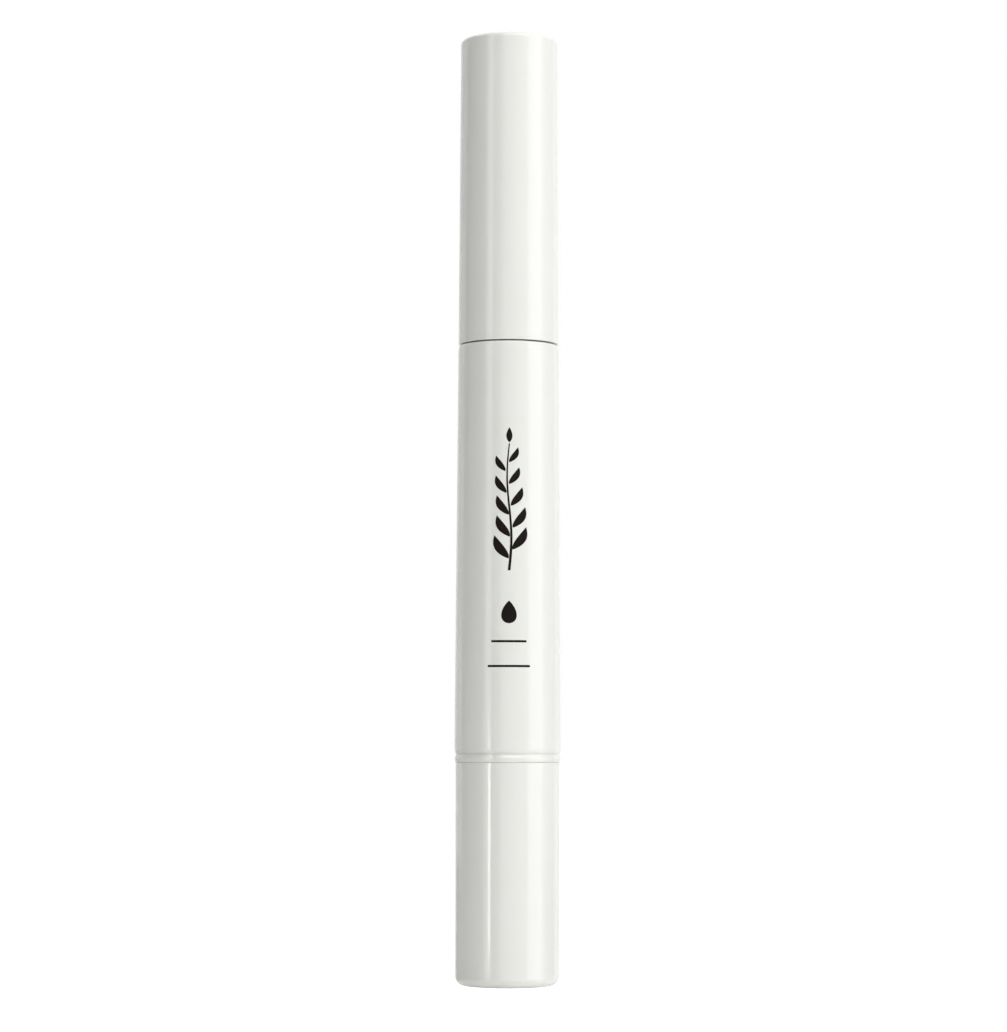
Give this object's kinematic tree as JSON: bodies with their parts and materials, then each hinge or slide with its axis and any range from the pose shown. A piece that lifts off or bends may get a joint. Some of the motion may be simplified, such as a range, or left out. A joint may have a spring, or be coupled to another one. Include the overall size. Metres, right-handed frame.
{
  "type": "twist-up cuticle oil pen",
  "caption": "Slim white twist pen for nail oil: pull-off cap over a brush tip, a plain barrel holding the oil, and a knob at the foot that winds a piston forward.",
  "frame": {"origin": "centre of the flat foot of the knob, on the pen's axis", "axes": "+Z along the pen's axis from the knob to the cap; -Y is the side that carries the print"},
  "size_m": [0.0156, 0.0156, 0.14],
  "materials": {
    "gloss_white_abs": "polished injection-moulded white",
    "natural_polypropylene": "milky translucent",
    "white_polyethylene": "satin white",
    "white_acetal": "slick satin white",
    "grey_acetal": "slick satin grey",
    "silicone_rubber": "soft matt",
    "nylon_bristle": "fine parallel filaments"
  },
  "bodies": {
    "barrel": {"barrel_shell": "gloss_white_abs", "rear_bushing": "gloss_white_abs", "ratchet_ring": "grey_acetal", "thread_nut": "grey_acetal", "reservoir_tube": "natural_polypropylene", "neck_ring": "silicone_rubber", "seat_seal": "silicone_rubber", "brush_seat": "natural_polypropylene", "feed_tube": "natural_polypropylene", "brush_ring": "white_polyethylene", "bristle_tuft": "nylon_bristle"},
    "cap": {"cap_shell": "gloss_white_abs", "cap_liner": "natural_polypropylene"},
    "knob": {"knob_shell": "gloss_white_abs", "drive_sleeve": "grey_acetal", "pawl_ring": "white_acetal"},
    "piston": {"piston": "white_polyethylene", "piston_ring_rear": "silicone_rubber", "piston_ring_front": "silicone_rubber"},
    "screw": {"lead_screw": "white_acetal"}
  },
  "joints": [
    {"name": "cap_pull", "type": "slide", "parent": "barrel", "child": "cap", "axis": [0, 0, 1], "range_m": [0, 0.045]},
    {"name": "knob_twist", "type": "hinge", "parent": "barrel", "child": "knob", "pos_m": [0, 0, 0], "axis": [0, 0, 1], "range_deg": [0, 3960], "deforming": ["pawl_ring"]},
    {"name": "piston_advance", "type": "slide", "parent": "barrel", "child": "piston", "axis": [0, 0, 1], "range_m": [0, 0.033]},
    {"name": "screw_spin", "type": "hinge", "parent": "piston", "child": "screw", "pos_m": [0, 0, 0.044], "axis": [0, 0, 1], "range_deg": [0, 3960]}
  ],
  "couplings": [
    {"joint": "piston_advance", "follows": "knob_twist", "m_per_rad": 0.00047746},
    {"joint": "screw_spin", "follows": "knob_twist", "ratio": 1}
  ]
}
